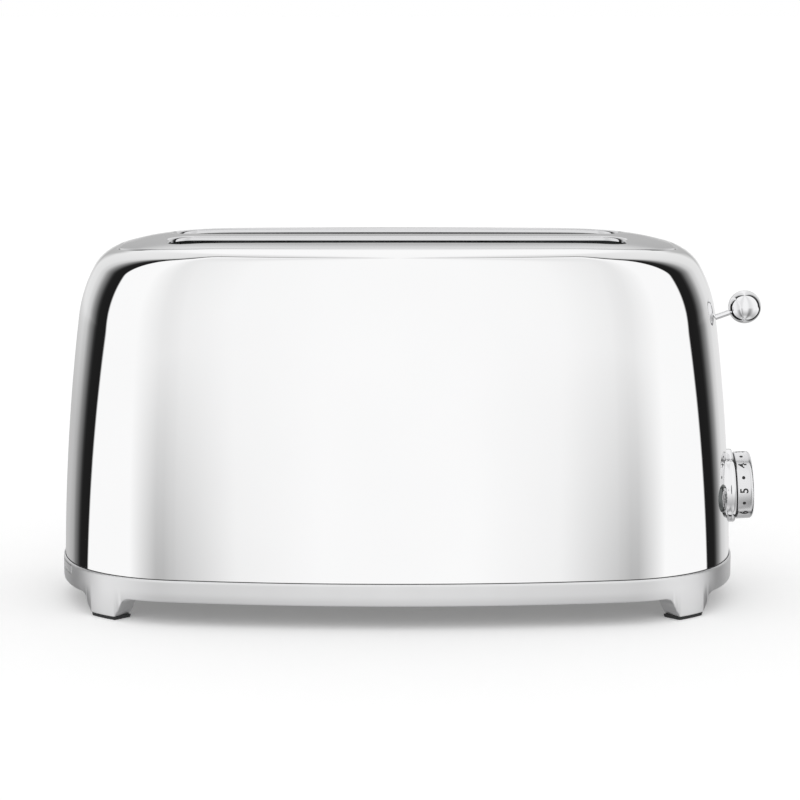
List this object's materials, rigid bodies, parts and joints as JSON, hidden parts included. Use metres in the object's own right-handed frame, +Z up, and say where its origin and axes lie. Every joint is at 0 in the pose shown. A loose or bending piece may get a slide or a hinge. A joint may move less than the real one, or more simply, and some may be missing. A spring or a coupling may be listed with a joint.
{
  "type": "four-slice toaster",
  "caption": "Polished steel toaster with two long bread slots, a ball-ended lift lever, a browning dial and push buttons on one end, on a footed base ring.",
  "frame": {"origin": "centre of the bounding box at the height of the table under the foot pads", "axes": "+X towards the end with the lever and the dial, +Y towards the back, +Z up"},
  "size_m": [0.394, 0.208, 0.2031],
  "materials": {
    "polished_steel": "mirror-polished stainless steel",
    "plate_steel": "polished steel with a faint brushed grain",
    "chromed_trim": "bright chrome plating",
    "satin_trim": "satin plated",
    "galvanised": "plain galvanised sheet",
    "spring_steel": "bright drawn wire",
    "mica": "mica sheet, slightly glittering",
    "ribbon": "oxidised resistance ribbon",
    "black_plastic": "fine moulded texture",
    "pad_rubber": "soft black rubber",
    "copper_coil": "enamelled winding on a steel core",
    "board_laminate": "green lacquered board",
    "zinc_screw": "zinc-plated"
  },
  "bodies": {
    "chassis": {"outer_shell": "polished_steel", "top_plate": "plate_steel", "base_ring": "satin_trim", "base_pan": "galvanised", "base_screws": "zinc_screw", "cord_gland": "black_plastic", "terminal_block": "black_plastic", "chassis_end_left": "galvanised", "chassis_end_right": "galvanised", "heat_shield_front": "galvanised", "heat_shield_back": "galvanised", "carriage_guide_rod": "spring_steel", "guide_rod_bracket": "galvanised", "carriage_bumper": "pad_rubber", "lift_spring": "spring_steel", "latch_magnet": "copper_coil", "lever_slot_liner": "black_plastic", "dial_bezel": "chromed_trim", "potentiometer": "black_plastic", "control_board": "board_laminate", "board_standoffs": "black_plastic", "foot_pad_front_left": "pad_rubber", "foot_pad_front_right": "pad_rubber", "foot_pad_back_left": "pad_rubber", "foot_pad_back_right": "pad_rubber", "heater_board_front_outer": "mica", "heater_ribbon_front_outer": "ribbon", "heater_board_front_inner": "mica", "heater_ribbon_front_inner": "ribbon", "button_bezel_front": "chromed_trim", "button_switch_front": "black_plastic", "heater_board_back_outer": "mica", "heater_ribbon_back_outer": "ribbon", "heater_board_back_inner": "mica", "heater_ribbon_back_inner": "ribbon", "button_bezel_back": "chromed_trim", "button_switch_back": "black_plastic"},
    "carriage": {"carriage": "galvanised", "latch_keeper": "galvanised", "lever_rod": "chromed_trim", "lever_ball": "chromed_trim", "bread_lift_front": "galvanised", "bread_lift_back": "galvanised"},
    "dial": {"dial": "satin_trim", "dial_shaft": "spring_steel"},
    "button_front": {"button_cap_front": "satin_trim"},
    "button_back": {"button_cap_back": "satin_trim"},
    "crumb_tray": {"crumb_tray": "satin_trim"},
    "guide_front_outer": {"bread_guide_front_outer": "spring_steel"},
    "guide_front_inner": {"bread_guide_front_inner": "spring_steel"},
    "guide_back_outer": {"bread_guide_back_outer": "spring_steel"},
    "guide_back_inner": {"bread_guide_back_inner": "spring_steel"}
  },
  "joints": [
    {"name": "carriage_slide", "type": "slide", "parent": "chassis", "child": "carriage", "axis": [0, 0, -1], "range_m": [0, 0.062], "stiffness_N_per_m": 60, "springref_m": -0.15, "deforming": ["lift_spring"]},
    {"name": "dial_turn", "type": "hinge", "parent": "chassis", "child": "dial", "pos_m": [0.17868, 0, 0.0604], "axis": [0.9988, 0, 0.0482], "range_deg": [-135, 90]},
    {"name": "crumb_tray_slide", "type": "slide", "parent": "chassis", "child": "crumb_tray", "axis": [-1, 0, 0], "range_m": [0, 0.25]},
    {"name": "button_front_press", "type": "slide", "parent": "chassis", "child": "button_front", "axis": [-0.9442, 0.326, -0.0479], "range_m": [0, 0.0015], "stiffness_N_per_m": 400, "springref_m": -0.002},
    {"name": "button_back_press", "type": "slide", "parent": "chassis", "child": "button_back", "axis": [-0.9442, -0.326, -0.0479], "range_m": [0, 0.0015], "stiffness_N_per_m": 400, "springref_m": -0.002},
    {"name": "guide_front_outer_slide", "type": "slide", "parent": "chassis", "child": "guide_front_outer", "axis": [0, 1, 0], "range_m": [0, 0.007]},
    {"name": "guide_front_inner_slide", "type": "slide", "parent": "chassis", "child": "guide_front_inner", "axis": [0, -1, 0], "range_m": [0, 0.007]},
    {"name": "guide_back_outer_slide", "type": "slide", "parent": "chassis", "child": "guide_back_outer", "axis": [0, -1, 0], "range_m": [0, 0.007]},
    {"name": "guide_back_inner_slide", "type": "slide", "parent": "chassis", "child": "guide_back_inner", "axis": [0, 1, 0], "range_m": [0, 0.007]}
  ],
  "couplings": [
    {"joint": "guide_front_outer_slide", "follows": "carriage_slide", "ratio": 0.11289},
    {"joint": "guide_front_inner_slide", "follows": "carriage_slide", "ratio": 0.11289},
    {"joint": "guide_back_outer_slide", "follows": "carriage_slide", "ratio": 0.11289},
    {"joint": "guide_back_inner_slide", "follows": "carriage_slide", "ratio": 0.11289}
  ]
}
